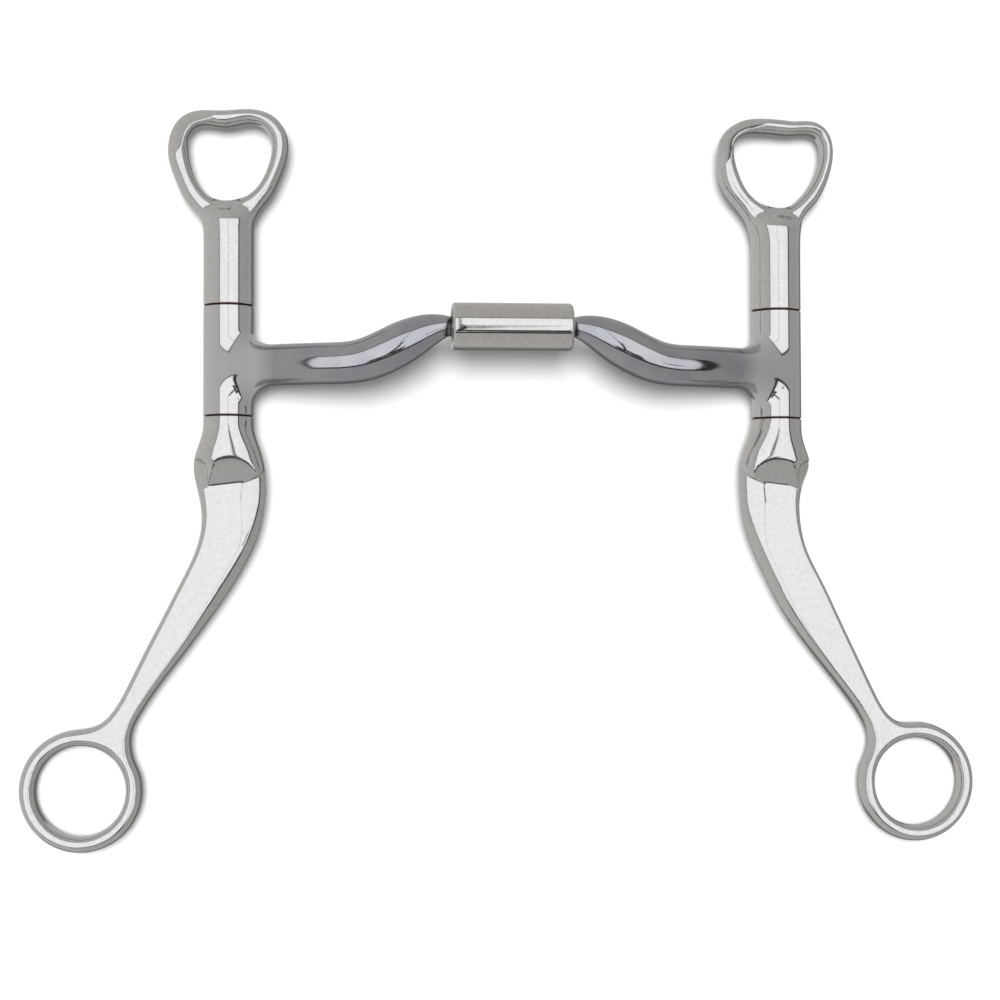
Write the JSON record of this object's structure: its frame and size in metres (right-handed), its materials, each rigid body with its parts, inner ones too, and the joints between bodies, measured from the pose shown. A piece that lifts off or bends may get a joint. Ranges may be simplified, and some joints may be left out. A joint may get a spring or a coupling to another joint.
{
  "type": "curb bit",
  "caption": "Curb bit with an arched, barrel-jointed mouthpiece and swivelling cheeks, which carry a headstall loop above and a shank with a rein ring below.",
  "frame": {"origin": "middle of the bottom of the bounding box, with the bit lying flat on a table", "axes": "+X along the mouthpiece towards the right cheek, +Y up the cheeks towards the headstall loops, +Z away from the table, the way the mouthpiece arches"},
  "size_m": [0.2426, 0.1858, 0.0283],
  "materials": {
    "cheek_steel": "mirror-polished stainless steel",
    "barrel_steel": "polished stainless steel",
    "mouth_steel": "smooth, slightly darker mouth steel",
    "spindle_steel": "ground pin steel",
    "bush_bronze": "dull bearing bronze"
  },
  "bodies": {
    "barrel": {"barrel_sleeve": "barrel_steel", "centre_spacer": "spindle_steel", "left_end_bush": "spindle_steel", "right_end_bush": "spindle_steel"},
    "left_arm": {"left_mouth_arm": "mouth_steel", "left_retaining_collar": "spindle_steel", "left_lower_bush": "bush_bronze", "left_upper_bush": "bush_bronze"},
    "left_cheek": {"left_purchase": "cheek_steel", "left_spindle": "spindle_steel", "left_shank": "cheek_steel"},
    "right_arm": {"right_mouth_arm": "mouth_steel", "right_retaining_collar": "spindle_steel", "right_lower_bush": "bush_bronze", "right_upper_bush": "bush_bronze"},
    "right_cheek": {"right_purchase": "cheek_steel", "right_spindle": "spindle_steel", "right_shank": "cheek_steel"}
  },
  "joints": [
    {"name": "left_arm_swivel", "type": "hinge", "parent": "barrel", "child": "left_arm", "pos_m": [-0.0125, 0.0367, 0.0225], "axis": [1, 0, 0], "continuous": true},
    {"name": "right_arm_swivel", "type": "hinge", "parent": "barrel", "child": "right_arm", "pos_m": [0.0125, 0.0367, 0.0225], "axis": [1, 0, 0], "continuous": true},
    {"name": "left_cheek_swivel", "type": "hinge", "parent": "left_arm", "child": "left_cheek", "pos_m": [-0.06975, 0.0293, 0.00625], "axis": [0, 1, 0], "continuous": true},
    {"name": "right_cheek_swivel", "type": "hinge", "parent": "right_arm", "child": "right_cheek", "pos_m": [0.06975, 0.0293, 0.00625], "axis": [0, 1, 0], "continuous": true}
  ]
}
